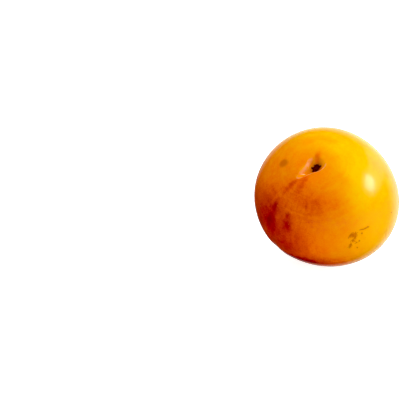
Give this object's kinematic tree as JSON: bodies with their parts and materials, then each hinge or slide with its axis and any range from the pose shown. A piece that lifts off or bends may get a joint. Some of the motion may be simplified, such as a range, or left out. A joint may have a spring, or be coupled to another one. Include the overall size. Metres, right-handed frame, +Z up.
{
  "type": "plum",
  "caption": "Whole ripe yellow plum with a red blush and no stalk, lying on its lower cheek with the stem hollow leaning forward and up.",
  "frame": {"origin": "middle of the small flat spot that the fruit rests on, close under its centre of mass", "axes": "+Z up, away from the surface the fruit lies on; the stem end leans up and forward, 41 degrees from upright towards -Y and a little to -X, and the pointed blossom end looks back and down"},
  "size_m": [0.0567, 0.0561, 0.0556],
  "materials": {
    "skin": "smooth waxy fruit skin, yellow turning orange and crimson on the sunny cheek, semi-gloss"
  },
  "bodies": {
    "root": {"fruit": "skin"}
  },
  "joints": []
}
